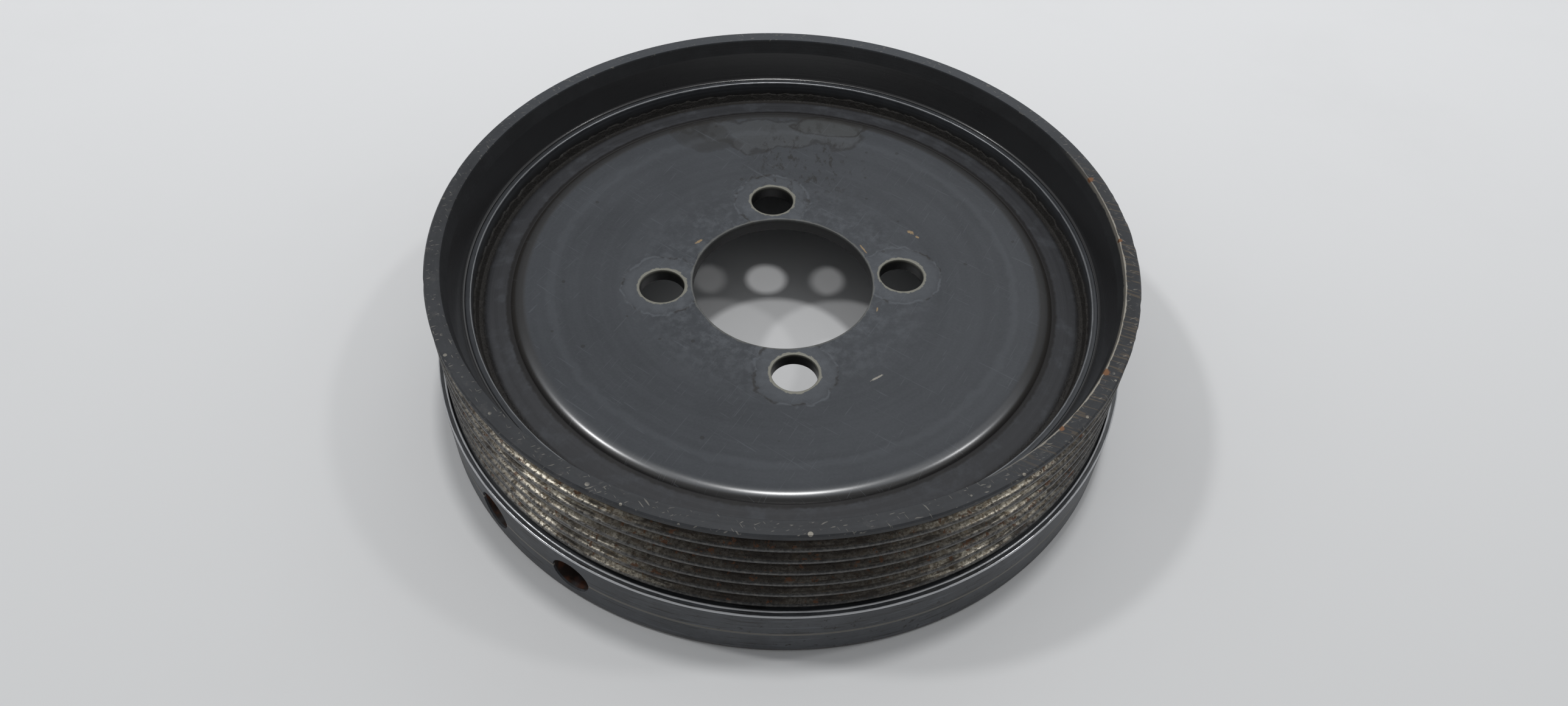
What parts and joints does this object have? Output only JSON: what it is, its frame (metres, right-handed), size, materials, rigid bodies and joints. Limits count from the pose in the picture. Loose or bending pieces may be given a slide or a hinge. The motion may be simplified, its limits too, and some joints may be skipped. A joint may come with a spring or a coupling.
{
  "type": "crankshaft belt pulley",
  "caption": "Round multi-groove belt pulley with a rubber-isolated grooved rim, a pressed four-bolt hub with a central bore, and a rubber-mounted damper ring behind.",
  "frame": {"origin": "centre of the pilot bore at the hub's rear mounting face", "axes": "+Z along the shaft axis, away from the engine, towards the pulley's open front"},
  "size_m": [0.14, 0.14, 0.0355],
  "materials": {
    "hub_coating": "satin dark slate coating, scuffed",
    "isolator_rubber": "matt",
    "damper_rubber": "matt",
    "sleeve_steel": "satin, grey",
    "pulley_coating": "satin dark coating, worn to steel in the grooves",
    "support_steel": "plain pressed steel",
    "bearing_plastic": "matt",
    "ring_coating": "satin black coating, scratched"
  },
  "bodies": {
    "hub": {"hub_plate": "hub_coating", "support_ring": "support_steel", "isolator_rubber": "isolator_rubber", "damper_rubber": "damper_rubber"},
    "pulley": {"belt_pulley": "pulley_coating", "isolator_sleeve": "sleeve_steel", "bearing_bush": "bearing_plastic", "thrust_ring": "bearing_plastic"},
    "damper": {"inertia_ring": "ring_coating"}
  },
  "joints": [
    {"name": "pulley_twist", "type": "hinge", "parent": "hub", "child": "pulley", "pos_m": [0, 0, 0], "axis": [0, 0, 1], "range_deg": [-6, 6], "stiffness_Nm_per_rad": 250, "deforming": ["isolator_rubber"]},
    {"name": "damper_twist", "type": "hinge", "parent": "hub", "child": "damper", "pos_m": [0, 0, 0], "axis": [0, 0, 1], "range_deg": [-1.5, 1.5], "stiffness_Nm_per_rad": 150, "deforming": ["damper_rubber"]}
  ]
}
